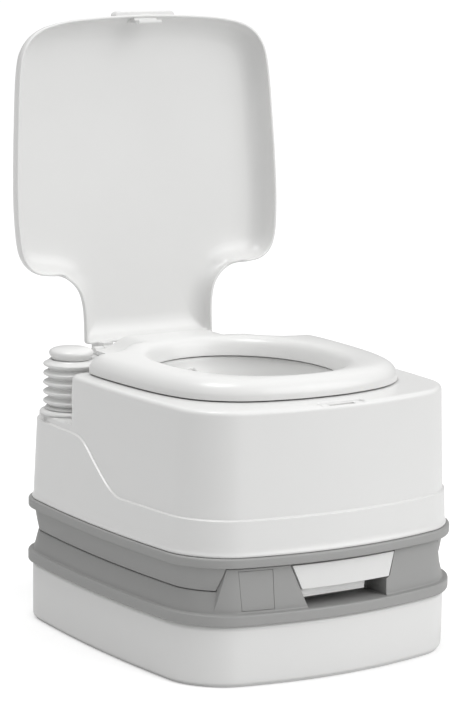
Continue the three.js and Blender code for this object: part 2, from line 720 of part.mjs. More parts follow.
function lid() {
  const outer = lidLoft([[0, 0], [0, 5], [3, 16], [7, 23], [16, LID_TOP - HINGE_Z]]);
  const inner = lidLoft(LID_INNER);
  const neckRelief = box([-125, 125], [-97, 0], [-1, 9]);
  const tab = frontPrism([[-41, 2], [41, 2], [39, 14], [-39, 14]], [-396, -389]);
  const hook = join(
    box([-15.5, 15.5], [-385.4, -382.4], [-9, 20]),
    box([-15.5, 15.5], [-385.4, -380.5], [-9, -6.5]),
  );
  const lugs = [-1, 1].map((side) => lug(side, 58, 71.6, (x) => box(x, [-10.6, 0], [-1.5, 26])));
  const shell = cut(outer, inner, neckRelief);
  const pivot = new THREE.Group();
  pivot.position.set(0, HINGE_Y, HINGE_Z);
  pivot.rotation.x = THREE.MathUtils.degToRad(-LID_ANGLE);
  group.add(pivot);
  add(pivot, 'lid', join(shell, tab, hook, ...lugs), WHITE);
}

wasteTank();
valve();
spout();
vent();
latch();
casing();
pump();
filler();
seat();
lid();

export default group;
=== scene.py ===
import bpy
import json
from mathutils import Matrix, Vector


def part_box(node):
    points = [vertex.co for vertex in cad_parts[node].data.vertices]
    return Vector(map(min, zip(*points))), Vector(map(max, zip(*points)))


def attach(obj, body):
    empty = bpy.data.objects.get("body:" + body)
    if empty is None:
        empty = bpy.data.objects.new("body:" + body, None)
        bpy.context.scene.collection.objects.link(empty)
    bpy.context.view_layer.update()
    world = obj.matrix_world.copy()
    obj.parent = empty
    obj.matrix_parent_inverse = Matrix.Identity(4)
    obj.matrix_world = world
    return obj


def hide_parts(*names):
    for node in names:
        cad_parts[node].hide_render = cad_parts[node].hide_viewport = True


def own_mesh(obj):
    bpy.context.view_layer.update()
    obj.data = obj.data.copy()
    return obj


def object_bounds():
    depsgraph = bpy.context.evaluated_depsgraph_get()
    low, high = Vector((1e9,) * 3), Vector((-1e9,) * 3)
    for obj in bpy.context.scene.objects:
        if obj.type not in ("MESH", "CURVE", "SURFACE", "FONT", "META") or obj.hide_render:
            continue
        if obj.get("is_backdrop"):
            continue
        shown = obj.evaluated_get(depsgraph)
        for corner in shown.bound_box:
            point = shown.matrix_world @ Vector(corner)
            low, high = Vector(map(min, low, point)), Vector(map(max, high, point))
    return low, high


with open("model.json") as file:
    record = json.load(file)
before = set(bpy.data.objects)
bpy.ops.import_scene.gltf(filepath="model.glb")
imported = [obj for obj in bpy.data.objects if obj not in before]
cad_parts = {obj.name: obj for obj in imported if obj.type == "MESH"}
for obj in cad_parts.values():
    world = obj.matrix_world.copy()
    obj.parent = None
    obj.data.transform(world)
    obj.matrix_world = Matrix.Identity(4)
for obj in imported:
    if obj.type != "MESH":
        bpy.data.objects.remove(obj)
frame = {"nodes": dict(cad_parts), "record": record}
cad_box = [list(map(float, corner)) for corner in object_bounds()]

import json
import math

import bmesh
import bpy
import numpy as np
from mathutils import Matrix, Vector

# %% [markdown]
# ## Sizes
# Everything is worked out in millimetres, the unit of the moulding drawings, and turned to metres when a mesh is
# made. Heights are read from the frame's nodes, so a change in the frame moves the looks with it.
# %% Heights and widths
MM = 0.001


def span(node):
    """The lowest and highest corner of a frame node, in millimetres."""
    low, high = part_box(node)
    return np.array(low) / MM, np.array(high) / MM


HALF_WIDTH = span("base_skirt")[1][0]
HALF_DEPTH = span("base_skirt")[1][1]
CORNER_RADIUS = 50
FRONT_BOW = 32
SIDE_BOW = 12
REAR_BOW = 6

TUB_TOP = span("tank_tub")[1][2]
LOWER_FLANGE = (span("tank_top")[0][2], 81.6)
TANK_DECK = 104.7
PANEL_TOP = span("tank_top")[1][2]
SKIRT_BOTTOM = span("base_skirt")[0][2]
UPPER_FLANGE = (132.7, span("base_skirt")[1][2])
CASING_BOTTOM = span("flush_casing")[0][2]
DECK = 300.5
SEAT_BOTTOM = 302
LID_TOP = 330
HINGE = (192, 302)
LUG_RADIUS = 7
LID_ANGLE = 94
print("closed size:", 2 * HALF_WIDTH, 2 * HALF_DEPTH, LID_TOP)

# %% [markdown]
# ## From points to meshes
# A moulding like this is drawn as a stack of outlines. Each ring has the same number of points, so neighbouring
# rings join into strips of four-sided faces, and rings set close together round an edge give it its radius.
# Closing the stack end to end makes a hollow ring, and a fan of triangles closes a solid end.
# %% Mesh helpers


def in_scene(name, data):
    made = bpy.data.objects.new(name, data)
    bpy.context.scene.collection.objects.link(made)
    return made


def new_object(name, points, faces):
    """An object at the origin from points in millimetres."""
    mesh = bpy.data.meshes.new(name)
    mesh.from_pydata((np.asarray(points, float) * MM).tolist(), [], faces)
    mesh.validate()
    mesh.shade_smooth()
    return in_scene(name, mesh)


def ring_points(outline, height):
    """An outline of [x, y] points lifted to a height, or to one height for each point."""
    return np.column_stack([outline, np.broadcast_to(height, len(outline))])


def strips(rings, count, ends="fan"):
    """Faces between rings of count points; ends is fan for solid ends, join for a ring, or open."""
    faces = []
    levels = rings if ends == "join" else rings - 1
    for level in range(levels):
        for index in range(count):
            a = level * count + index
            b = level * count + (index + 1) % count
            up = ((level + 1) % rings - level) * count
            faces.append((a, b, b + up, a + up))
    return faces


def stack(name, rings, ends="fan"):
    """A closed mesh through rings of [x, y, z] points, from the lowest outer ring up."""
    count = len(rings[0])
    points = np.concatenate(rings)
    faces = strips(len(rings), count, ends)
    if ends == "fan":
        points = np.vstack([points, rings[0].mean(0), rings[-1].mean(0)])
        bottom, top = len(points) - 2, len(points) - 1
        last = (len(rings) - 1) * count
        for index in range(count):
            following = (index + 1) % count
            faces += [(bottom, following, index), (top, last + index, last + following)]
    return new_object(name, points, faces)


def arc(centre, radius, start, end, steps):
    """Points on an arc, with its angles in degrees."""
    angles = np.radians(np.linspace(start, end, steps + 1))
    return np.column_stack([centre[0] + radius * np.cos(angles), centre[1] + radius * np.sin(angles)])


def smooth_through(points, count):
    """A Catmull-Rom curve through points, evenly respaced to count points."""
    points = np.asarray(points, float)
    padded = np.vstack([2 * points[0] - points[1], points, 2 * points[-1] - points[-2]])
    pieces = []
    for a, b, c, d in zip(padded, padded[1:], padded[2:], padded[3:]):
        t = np.linspace(0, 1, 24, endpoint=False)[:, None]
        pieces.append(0.5 * (2 * b + (c - a) * t + (2 * a - 5 * b + 4 * c - d) * t**2
                             + (3 * b - a - 3 * c + d) * t**3))
    return respaced(np.vstack([*pieces, points[-1:]]), count)


def respaced(points, count):
    """The same path with count points, evenly spaced along it."""
    steps = np.linalg.norm(np.diff(points, axis=0), axis=1)
    along = np.concatenate([[0], np.cumsum(steps)])
    wanted = np.linspace(0, along[-1], count)
    return np.column_stack([np.interp(wanted, along, column) for column in points.T])


def inset(outline, distance):
    """A closed anticlockwise outline moved inwards, by one distance or one for each point."""
    along = np.roll(outline, -1, 0) - np.roll(outline, 1, 0)
    along /= np.linalg.norm(along, axis=1)[:, None]
    inward = np.column_stack([-along[:, 1], along[:, 0]])
    return outline + inward * np.broadcast_to(distance, len(outline))[:, None]


def eased(value):
    value = np.clip(value, 0, 1)
    return value * value * (3 - 2 * value)


def swollen_outline(half_width, front, rear, radius, front_bow, corner_steps=16, side_steps=26):
    """A rounded rectangle whose four sides swell outwards, as both boxes have in plan."""
    side_x = half_width - SIDE_BOW
    front_y, rear_y = front + front_bow, rear - REAR_BOW
    middle, half = (front_y + rear_y) / 2, (rear_y - front_y) / 2
    corners = [
        arc((sx * (side_x - radius), middle + sy * (half - radius)), radius, start, start + 90, corner_steps)
        for sx, sy, start in ((1, -1, -90), (1, 1, 0), (-1, 1, 90), (-1, -1, 180))
    ]
    parts = []
    for corner, following in zip(corners, corners[1:] + corners[:1]):
        side = np.linspace(corner[-1], following[0], side_steps + 1)[1:-1]
        parts += [corner, side]
    plan = np.vstack(parts)
    across = plan[:, 0] / side_x
    along = (plan[:, 1] - middle) / half
    bow = np.where(along < 0, front_bow, REAR_BOW)
    return np.column_stack([
        plan[:, 0] + across * SIDE_BOW * (1 - along**2),
        plan[:, 1] + along * bow * (1 - across**2),
    ])


FLANGE_OUTLINE = swollen_outline(HALF_WIDTH, -HALF_DEPTH, HALF_DEPTH, CORNER_RADIUS, FRONT_BOW)


def flange_stack(name, levels, ends="fan"):
    """A stack from [inset from the flange outline, height] pairs."""
    return stack(name, [ring_points(inset(FLANGE_OUTLINE, distance), z) for distance, z in levels], ends)


# %% [markdown]
# ## Cutting and rounding
# Grips, niches and skirt tabs are cut out of their mouldings with exact booleans, because a cut between two closed
# meshes is the nearest thing to what the tool maker does. A narrow bevel on the edges that the cut leaves then
# gives the small radius that no moulding can do without, and weighted normals keep the flat faces flat.
# %% Solid tools
SHARP_ANGLE = 38


def baked(piece):
    """Applies the piece's modifiers, so that its mesh is plain."""
    bpy.context.view_layer.update()
    result = bpy.data.meshes.new_from_object(piece.evaluated_get(bpy.context.evaluated_depsgraph_get()))
    piece.modifiers.clear()
    old = piece.data
    piece.data = result
    bpy.data.meshes.remove(old)
    return piece


def combined(piece, tool, operation):
    """The boolean of two closed pieces; the tool is used up."""
    modifier = piece.modifiers.new(operation.lower(), "BOOLEAN")
    modifier.operation = operation
    modifier.object = tool
    modifier.solver = "EXACT"
    baked(piece)
    bpy.data.objects.remove(tool)
    return piece


def cut(piece, *tools):
    for tool in tools:
        combined(piece, tool, "DIFFERENCE")
    return piece


def rounded_edges(piece, width, segments=2):
    """Rounds every sharp edge by width in millimetres."""
    bevel = piece.modifiers.new("edge_radius", "BEVEL")
    bevel.width = width * MM
    bevel.segments = segments
    bevel.limit_method = "ANGLE"
    bevel.angle_limit = math.radians(SHARP_ANGLE)
    bevel.miter_outer = "MITER_ARC"
    piece.modifiers.new("flat_faces", "WEIGHTED_NORMAL").keep_sharp = True
    baked(piece)
    piece.data.shade_smooth()
    return piece


def prism(name, outline, low, high, axes="xyz"):
    """A closed outline raised from low to high along the last of the three axes."""
    outline = np.asarray(outline, float)
    area = np.sum(outline[:, 0] * np.roll(outline[:, 1], -1) - np.roll(outline[:, 0], -1) * outline[:, 1])
    if (area < 0) != (axes == "xzy"):
        outline = outline[::-1]
    order = [axes.index(axis) for axis in "xyz"]
    points = np.vstack([ring_points(outline, low), ring_points(outline, high)])[:, order]
    count = len(outline)
    faces = strips(2, count, "open")
    faces += [tuple(range(count))[::-1], tuple(range(count, 2 * count))]
    return new_object(name, points, faces)


def block(name, x, y, z):
    return prism(name, [(x[0], y[0]), (x[1], y[0]), (x[1], y[1]), (x[0], y[1])], *z)


def circles(profile, steps):
    """The points of a circle for each [radius, height] of a profile."""
    angles = np.linspace(0, 2 * math.pi, steps, endpoint=False)
    return np.vstack([np.column_stack([radius * np.cos(angles), radius * np.sin(angles), np.full(steps, height)])
                      for radius, height in profile])


def turned(name, profile, centre, steps=72, axis="z"):
    """A closed [radius, height] profile turned about an axis through centre."""
    points = circles(profile, steps)
    if axis == "x":
        points = points[:, [2, 0, 1]]
    ends = "open" if profile[0][0] == profile[-1][0] == 0 else "join"
    piece = new_object(name, points + np.asarray(centre, float), strips(len(profile), steps, ends))
    merged(piece)
    return piece


def drill(name, x, y, radius, low, high):
    """An upright cylinder, to cut a round hole with."""
    return turned(name, [(0, low), (radius, low), (radius, high), (0, high)], (x, y, 0))


def moved(piece, x, y, z):
    """Moves a mesh by millimetres; its object stays at the origin."""
    piece.data.transform(Matrix.Translation((x * MM, y * MM, z * MM)))
    return piece


def merged(piece):
    """Welds doubled points, such as those of a profile that reaches its axis."""
    weld = piece.modifiers.new("weld", "WELD")
    weld.merge_threshold = 0.01 * MM
    baked(piece)
    piece.data.shade_smooth()


def joined(piece, *others):
    """One object from several closed shells."""
    with bpy.context.temp_override(active_object=piece, selected_editable_objects=[piece, *others]):
        bpy.ops.object.join()
    return piece


# %% [markdown]
# ## Materials
# The white mouldings are ABS, injection moulded against polished steel: a bright, even white with a soft gloss and
# the faint orange peel that shows in a reflection. The grey ones are polypropylene against a fine spark-eroded
# surface, which scatters the light and looks satin. Every pattern reads Object coordinates in metres, so its scale
# is one over its real size.
# %% Colours and nodes


def linear(hex_colour):
    channels = [int(hex_colour[i:i + 2], 16) / 255 for i in (1, 3, 5)]
    return [c / 12.92 if c <= 0.04045 else ((c + 0.055) / 1.055) ** 2.4 for c in channels] + [1]


def add_node(tree, kind, settings=None, links=None):
    """Adds a node; settings are attributes or input values, links are input name or number: output socket."""
    made = tree.nodes.new(kind)
    for key, value in (settings or {}).items():
        if isinstance(key, str) and hasattr(made, key):
            setattr(made, key, value)
        else:
            made.inputs[key].default_value = value
    for key, socket in (links or {}).items():
        tree.links.new(socket, made.inputs[key])
    return made


def grain_scale(size_mm):
    """A noise scale whose features are about size_mm across."""
    return 1 / (size_mm * MM)


def bare_material(name):
    """A material with an empty tree, and the Object coordinates that its patterns read."""
    material = bpy.data.materials.new(name)
    material.use_nodes = True
    tree = material.node_tree
    tree.nodes.clear()
    return material, tree, add_node(tree, "ShaderNodeTexCoord").outputs["Object"]


def plastic(name, hex_colour, roughness, gloss_spread, grain, relief, shade=0.03, coat=0.0):
    """A moulded plastic: grain is its texture in mm, relief its depth in mm, shade its mottling."""
    material, tree, place = bare_material(name)
    flow = add_node(tree, "ShaderNodeTexNoise", {"Scale": grain_scale(90), "Detail": 2.0}, {"Vector": place})
    fine = add_node(tree, "ShaderNodeTexNoise", {"Scale": grain_scale(grain), "Detail": 0.0}, {"Vector": place})
    colour = linear(hex_colour)
    tint = add_node(tree, "ShaderNodeValToRGB", {}, {"Fac": flow.outputs["Fac"]})
    for stop, position, strength in zip(tint.color_ramp.elements, (0.2, 0.8), (1 - shade, 1)):
        stop.position = position
        stop.color = [channel * strength for channel in colour[:3]] + [1]
    gloss = add_node(tree, "ShaderNodeMapRange", {
        "From Min": 0.2, "From Max": 0.8, "To Min": roughness - gloss_spread, "To Max": roughness + gloss_spread,
    }, {"Value": flow.outputs["Fac"]})
    texture = add_node(tree, "ShaderNodeBump", {"Strength": 1.0, "Distance": relief * MM},
                       {"Height": fine.outputs["Fac"]})
    shader = add_node(tree, "ShaderNodeBsdfPrincipled", {"IOR": 1.52, "Coat Weight": coat, "Coat Roughness": 0.12}, {
        "Base Color": tint.outputs["Color"], "Roughness": gloss.outputs["Result"],
        "Normal": texture.outputs["Normal"],
    })
    add_node(tree, "ShaderNodeOutputMaterial", {}, {"Surface": shader.outputs["BSDF"]})
    return material


ABS_WHITE = plastic("polished_white_abs", "#E1E1E0", 0.3, 0.03, 9, 0.002, shade=0.01, coat=0.1)
PP_GREY = plastic("spark_eroded_grey_polypropylene", "#9C9C9B", 0.5, 0.04, 1.4, 0.006, shade=0.03)
PP_DARK = plastic("moulded_dark_grey_acetal", "#3A3C3F", 0.42, 0.05, 1.2, 0.04, shade=0.08)
RUBBER = plastic("black_nitrile_rubber", "#232427", 0.7, 0.06, 1.0, 0.05, shade=0.1)
HOSE = plastic("milky_pvc_hose", "#D5DAD9", 0.35, 0.05, 3, 0.03, shade=0.04)


def steel():
    """Drawn stainless wire and rod: fine lines along its length, bright and a little rough."""
    material, tree, place = bare_material("drawn_stainless_steel")
    stretch = add_node(tree, "ShaderNodeMapping", {"Scale": (0.1, 1, 1)}, {"Vector": place})
    lines = add_node(tree, "ShaderNodeTexNoise", {"Scale": grain_scale(0.4), "Detail": 2.0},
                     {"Vector": stretch.outputs["Vector"]})
    gloss = add_node(tree, "ShaderNodeMapRange", {"To Min": 0.2, "To Max": 0.38}, {"Value": lines.outputs["Fac"]})
    relief = add_node(tree, "ShaderNodeBump", {"Strength": 0.3, "Distance": 0.01 * MM},
                      {"Height": lines.outputs["Fac"]})
    shader = add_node(tree, "ShaderNodeBsdfPrincipled", {"Base Color": linear("#C4C6C8"), "Metallic": 1.0},
                      {"Roughness": gloss.outputs["Result"], "Normal": relief.outputs["Normal"]})
    add_node(tree, "ShaderNodeOutputMaterial", {}, {"Surface": shader.outputs["BSDF"]})
    return material


STEEL = steel()
SLOT_MATERIALS = {
    "white_shell": ABS_WHITE, "grey_trim": PP_GREY, "dark_fitting": PP_DARK,
    "seal_rubber": RUBBER, "hose": HOSE, "steel": STEEL,
}

# %% [markdown]
# Frame parts whose plain shape is already right, such as the valve plates and the pins, stay as they are and only
# get their finish here. The others are replaced below.
# %% Finish of the frame's own parts
for entry in frame["record"]["subparts"]:
    part = frame["nodes"][entry["node"]]
    part.data.materials.clear()
    part.data.materials.append(SLOT_MATERIALS[entry["material_slot"]])


def placed(piece, body, slot, *nodes):
    """Gives a finished piece its material and its body, and hides the frame nodes that it stands for."""
    piece.data.materials.clear()
    piece.data.materials.append(SLOT_MATERIALS[slot])
    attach(piece, body)
    if nodes:
        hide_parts(*nodes)
    print(piece.name, len(piece.data.polygons), "faces on", body)


# %% [markdown]
# ## The waste tank
# The tub is a deep white tray with upright walls that lean out by a degree, for the mould to let go. Its bottom
# edge turns under on a small radius and stands back a little, which leaves the fine dark line above the floor.
# %% Tub
turn = np.linspace(0, math.pi / 2, 6)
foot_edge = [(8 - 2 * math.sin(angle), 2.9 + 3.3 * (1 - math.cos(angle))) for angle in turn]
tub = flange_stack("white_tub", [
    (18, 0), (11, 0), (9.4, 0.3), (8.9, 1.0), (8.7, 2.4),
    *foot_edge, (5.95, 9), (5.8, 24), (5.65, 45), (5.5, 62), (5.5, TUB_TOP),
])
placed(tub, "waste_tank", "white_shell", "tank_tub")

# %% [markdown]
# The grey top closes the tub. Its flange is a band with rounded edges, above it the wall draws in to the waist, and
# at the front a flat panel rises to the upper flange. The grip behind the handle, the rear niche for the spout and
# the valve's hole are cut out of it.
# %% Grey tank top
PANEL_BOTTOM = 82
BAND_INSET = 6.5
WAIST_INSET = 12
OUTLET = (0, -5)
SPOUT = (72, 172, 107.5)
GRIP = [(-48, 81.6), (57, 81.6), (57, 100), (62, 103), (69.5, 131), (-70, 131)]


def flange_band(low, high, inner):
    """[inset, height] pairs up the outside of a flange with rounded edges."""
    return [
        (inner, low), (2.2, low), (0.9, low + 0.35), (0.25, low + 1.1), (0, low + 2.2),
        (0, high - 2.2), (0.25, high - 1.1), (0.9, high - 0.35), (2.2, high), (BAND_INSET - 1.6, high),
    ]


def front_slab(name, near, far):
    """The front panel between two insets, a little wider than its ends."""
    return flange_stack(name, [
        (BAND_INSET + far, PANEL_BOTTOM - 2), (BAND_INSET + near, PANEL_BOTTOM - 2),
        (8 + near, PANEL_TOP), (8 + far, PANEL_TOP),
    ], ends="join")


def front_prism(name, points, near=-240, far=-100):
    return prism(name, points, near, far, axes="xzy")


waist = np.array([BAND_INSET, LOWER_FLANGE[1] + 1.6]), np.array([WAIST_INSET, TANK_DECK])
tank_top = flange_stack("grey_tank_top", [
    *flange_band(*LOWER_FLANGE, 14), (BAND_INSET - 0.5, LOWER_FLANGE[1] + 0.5),
    *[tuple(waist[0] + (waist[1] - waist[0]) * t) for t in (0, 0.25, 0.5, 0.75, 0.93)],
    (WAIST_INSET + 0.2, TANK_DECK - 0.5), (WAIST_INSET + 1.2, TANK_DECK),
])
panel = combined(front_slab("front_panel", 0, 5.5), front_prism("panel_ends", [
    (-152.4, PANEL_BOTTOM - 1), (152.4, PANEL_BOTTOM - 1), (140.2, PANEL_TOP + 1), (-140.2, PANEL_TOP + 1),
]), "INTERSECT")
combined(tank_top, panel, "UNION")
niche = prism("niche", np.vstack([
    arc((-99, 154), 6, 180, 270, 6), arc((99, 154), 6, 270, 360, 6), [(105, 260), (-105, 260)],
]), 85, 140)
cut(tank_top, front_prism("grip_recess", GRIP, far=-168), niche,
    drill("valve_hole", *OUTLET, 40, 92, 120), drill("vent_hole", -93, 166, 9, 70, 90),
    drill("spout_hole", *SPOUT[:2], 19.9, 70, 90))

CORNER_SIGNS = [(-1, -1), (1, -1), (1, 1), (-1, 1)]
GAUGE_EDGES = [(-125, 84), (-88, 84), (-90, 128), (-129, 128)]


def gauge_prism(name, margin):
    """The blanking plate's outline, grown by a margin on every side."""
    return front_prism(name, np.array(GAUGE_EDGES) + np.array(CORNER_SIGNS) * margin)


cut(tank_top, combined(front_slab("gauge_bed", -3, 1.9), gauge_prism("gauge_mouth", 0), "INTERSECT"))
placed(rounded_edges(tank_top, 0.8), "waste_tank", "grey_trim", "tank_top")
gauge = combined(front_slab("gauge_blank", 0.15, 1.7), gauge_prism("gauge_edge", -0.45), "INTERSECT")
placed(rounded_edges(gauge, 0.35), "waste_tank", "grey_trim", "gauge_plate")

# %% [markdown]
# ## The pull handle
# The valve's handle is a white plate that follows the bow of the panel. Its ends lean in towards the bottom, its
# edges are well rounded, and under it hangs a finger lip: a thin wall that curls back and then forwards again.
# %% Handle and finger lip
handle = flange_stack("white_pull_handle", [
    (20, 100), (5.8, 100), *[(5.8 + 1.2 * t, 100 + 33 * t) for t in (0.25, 0.5, 0.75)], (7, 133), (20, 133),
], ends="join")
combined(handle, front_prism("handle_ends", [(-56, 103), (59.5, 103), (67.5, 129.7), (-67.5, 129.7)],
                             far=-193), "INTERSECT")
rounded_edges(handle, 2.0, segments=4)
curl = [(-203.5, 104.5), (-200, 103.6), (-196.6, 101), (-195, 97.5), (-195.6, 94.6), (-198.2, 92.4)]
back = [(y + 2.4, z + 0.6) for y, z in curl[1:]]
lip = prism("finger_lip", curl + back[::-1] + [(-198, 106)], -54, 33, axes="yzx")
combined(lip, front_prism("lip_ends", np.vstack([
    [(-53, 110), (-50.5, 90)], arc((25, 99), 8.5, -90, 0, 6), [(33.5, 110)],
])), "INTERSECT")
rounded_edges(lip, 0.5)
socket = rounded_edges(block("tongue_socket", (-26, 26), (-196, -182), (104.2, 114)), 1.2)
placed(joined(handle, lip, socket), "valve_slide", "white_shell", "pull_handle")

# %% [markdown]
# ## The grey base of the upper half
# The same flange as below, with a skirt that draws in under it. The skirt covers the waist at the sides and ends in
# a slanted tab on each side of the front panel, so that the two halves locate on each other.
# %% Base and skirt
base = flange_stack("grey_base", [
    *flange_band(*UPPER_FLANGE, 12), (9, UPPER_FLANGE[1]),
])
skirt_wall = [(WAIST_INSET + 0.3, SKIRT_BOTTOM + 0.4), (10.2, 116), (8.4, 126), (7.4, UPPER_FLANGE[0] + 1.6)]
skirt = flange_stack("skirt", [
    (WAIST_INSET + 1.6, SKIRT_BOTTOM), (WAIST_INSET + 0.6, SKIRT_BOTTOM), *skirt_wall,
    (11, UPPER_FLANGE[0] + 1.6), (13.4, 116), (WAIST_INSET + 3.3, SKIRT_BOTTOM),
], ends="join")
gap = SKIRT_BOTTOM - 2, UPPER_FLANGE[0] + 3
cut(skirt, front_prism("front_gap", [
    (-147.9, gap[0]), (147.9, gap[0]), (140.2, gap[1]), (-140.2, gap[1]),
], far=-60), block("rear_gap", (-151, 151), (60, 240), gap))
rounded_edges(skirt, 0.6)
cut(base, drill("outlet_hole", *OUTLET, 46.5, 128, 150))
placed(joined(base, skirt), "upper_section", "grey_trim", "base_skirt")

# %% [markdown]
# ## The white casing
# In plan the casing is the same swollen rectangle, leaning in towards the deck. Two rear corners are sunk to a
# lower platform, for the pump and the filler, and one embossed line runs round it: level across the front, up in an
# S along each side, level again behind. It is made as one net of rings, each with a full outline and an outline with
# the two corners taken out, point for point. Sliding from the one to the other makes the platforms, their rounded
# edges and their inside fillets without a cut.
# %% Casing outlines
WALL_HALF_WIDTH, WALL_HALF_DEPTH, WALL_RADIUS, WALL_BOW = 186, 208, 48, 31
NOTCH_START, NOTCH_FRONT, NOTCH_RADIUS, FILLET = 74, 96, 22, 30
NECK, NECK_RADIUS = 93, 12
FRONT_COUNT, CORNER_COUNT, REAR_COUNT = 150, 84, 36


def casing_outlines(z):
    """The full outline and the one with sunk corners at a height, and how far each point is in a corner."""
    rise = (np.clip(z, CASING_BOTTOM, DECK) - CASING_BOTTOM) / (DECK - CASING_BOTTOM)
    plan = swollen_outline(WALL_HALF_WIDTH - 5.7 * rise, -WALL_HALF_DEPTH + 9.5 * rise, WALL_HALF_DEPTH - 5.5 * rise,
                           WALL_RADIUS - 4 * rise, WALL_BOW - 6 * rise, corner_steps=60, side_steps=120)
    x, y = plan.T
    left_start = np.argmin(abs(y - NOTCH_START) + 999 * (x > 0))
    plan = np.roll(plan, -left_start, 0)
    x, y = plan.T
    right_start = np.argmin(abs(y - NOTCH_START) + 999 * (x < 0))
    right_end = np.argmin(abs(x - NECK + NECK_RADIUS) + 999 * (y < 0))
    left_end = np.argmin(abs(x + NECK - NECK_RADIUS) + 999 * (y < 0))
    front = respaced(plan[:right_start + 1], FRONT_COUNT + 1)
    corner = respaced(plan[right_start:right_end + 1], CORNER_COUNT + 1)
    rear = respaced(plan[right_end:left_end + 1], REAR_COUNT + 1)
    sx, sy = corner[0]
    ey = corner[-1][1]
    sunk = respaced(np.vstack([
        arc((sx - NOTCH_RADIUS, sy), NOTCH_RADIUS, 0, 90, 24),
        arc((NECK + FILLET, NOTCH_FRONT + FILLET), FILLET, -90, -180, 24),
        arc((NECK - NECK_RADIUS, ey - NECK_RADIUS), NECK_RADIUS, 0, 90, 10),
    ]), CORNER_COUNT + 1)

    def closed(right):
        left = (right * [-1, 1])[::-1]
        return np.vstack([front[:-1], right[:-1], rear[:-1], left[:-1]])

    t = np.linspace(0, 1, CORNER_COUNT + 1)[:-1]
    depth = eased(t / 0.07) * eased((1 - t) / 0.05)
    weight = np.concatenate([np.zeros(FRONT_COUNT), depth, np.zeros(REAR_COUNT), depth[::-1]])
    return closed(corner), closed(sunk), weight


# %% [markdown]
# The embossed line is a step of a little over a millimetre: the casing is fuller below it. Its height depends only
# on how far back a point lies, through one smooth curve.
# %% The embossed line
LINE_Y = [-230, -45, -37, -27, -17, -6, 5, 27, 38, 50, 62, 75, 230]
LINE_Z = [183.5, 183.5, 182.6, 184, 187.5, 193.5, 201, 217, 225.5, 233, 236.4, 237, 237]
LINE_LEVEL = 190
SMOOTHING = 13
STEP = 1.2
WALL_LOW, WALL_HIGH = 150, 240

line_places = np.arange(LINE_Y[0], LINE_Y[-1] + 1.0)
line_heights = np.convolve(np.interp(line_places, LINE_Y, LINE_Z), np.ones(SMOOTHING) / SMOOTHING, "valid")
line_places = line_places[SMOOTHING // 2:-(SMOOTHING // 2)]
line = np.interp(casing_outlines(LINE_LEVEL)[0][:, 1], line_places, line_heights)
low_wall, high_wall = (casing_outlines(level)[0] for level in (WALL_LOW, WALL_HIGH))


def wall_ring(z, push):
    """A ring of the wall, with a height for each point, set in by push."""
    mix = ((z - WALL_LOW) / (WALL_HIGH - WALL_LOW))[:, None]
    return ring_points(inset(low_wall + (high_wall - low_wall) * mix, push), z)


def casing_ring(z_wall, z_corner, inset_wall=0.0, inset_corner=0.0, sunk_share=0.0):
    """A level ring, with its own height and inset in the two corners, and the share by which they are sunk."""
    full, sunk, weight = casing_outlines(z_wall)
    plan = full + (sunk - full) * sunk_share
    room = 0.12 * np.linalg.norm(sunk - full, axis=1)
    at_corner = np.sign(inset_corner) * np.minimum(abs(inset_corner), room)
    moved_in = inset(plan, inset_wall + at_corner * weight)
    return ring_points(moved_in, z_wall + (z_corner - z_wall) * weight)


OPENING = (105.4, -127.4, 116.4, 2.15)


def oval_towards(plan, half_width, front, rear, exponent):
    """For each point, the point of an oval that lies in the same direction."""
    middle = (front + rear) / 2
    angle = np.arctan2(plan[:, 1] - middle, plan[:, 0])
    reach = (abs(np.cos(angle) / half_width) ** exponent
             + abs(np.sin(angle) / ((rear - front) / 2)) ** exponent) ** (-1 / exponent)
    return np.column_stack([reach * np.cos(angle), middle + reach * np.sin(angle)])


# %% Casing mesh
lip_rings = [casing_ring(z, z, push) for push, z in (
    (3, CASING_BOTTOM), (-1.4, CASING_BOTTOM), (-2.2, CASING_BOTTOM + 0.5), (-2.5, CASING_BOTTOM + 1.2),
    (-2.5, 145.8), (-2.3, 146.7), (-1.8, 147.6), (-1.6, 148.8),
)]
lower_rings = [wall_ring(WALL_LOW + (line - 1.6 - WALL_LOW) * share, -STEP) for share in np.linspace(0, 1, 8)]
step_rings = [wall_ring(line + height, push * STEP) for height, push in (
    (-1.0, -1), (-0.55, -0.88), (-0.25, -0.47), (0.25, 0.47), (0.55, 0.88), (1.0, 1),
)]
upper_rings = [wall_ring(line + 1.4 + (WALL_HIGH - line - 1.4) * share, STEP) for share in np.linspace(0, 1, 8)]
platform_rings = [casing_ring(wall, corner, STEP, push, share) for wall, corner, push, share in (
    (240.8, 241.4, 0, 0), (241.6, 242.6, 0.15, 0), (242.4, 243.8, 0.7, 0), (243.2, 244.6, 1.6, 0),
    (244.0, 245, 3.0, 0), (244.6, 245, 3.6, 0), (245.1, 245, 0, 0.4), (245.6, 245, 0, 0.7), (246.1, 245, -4.6, 1),
    (246.7, 245.05, -3.8, 1), (247.3, 245.8, -1.8, 1), (248, 247, -0.6, 1), (248.8, 248.6, 0, 1), (251, 250.6, 0, 1),
)]
top_rings = [casing_ring(z, z, STEP + push, 0, 1) for push, z in (
    (0, 262), (0, 274), (0, 285), (0, 293), (0, 295.3), (0.15, 296.6), (0.65, 297.9), (1.5, 299.1), (2.8, 299.95),
    (4.4, 300.4), (6, DECK), (7.4, DECK),
)]
rim = top_rings[-1][:, :2]
hole = oval_towards(rim, *OPENING)
deck_rings = [ring_points(rim + (hole - rim) * share, DECK) for share in (0.15, 0.35, 0.55, 0.75, 0.9)]
hole_rings = [ring_points(oval_towards(rim, OPENING[0] + grow, OPENING[1] - grow, OPENING[2] + grow, OPENING[3]), z)
              for grow, z in ((1.6, DECK), (0.6, 300.2), (0.1, 299.5), (0, 298.4), (0, 200), (0, 146))]
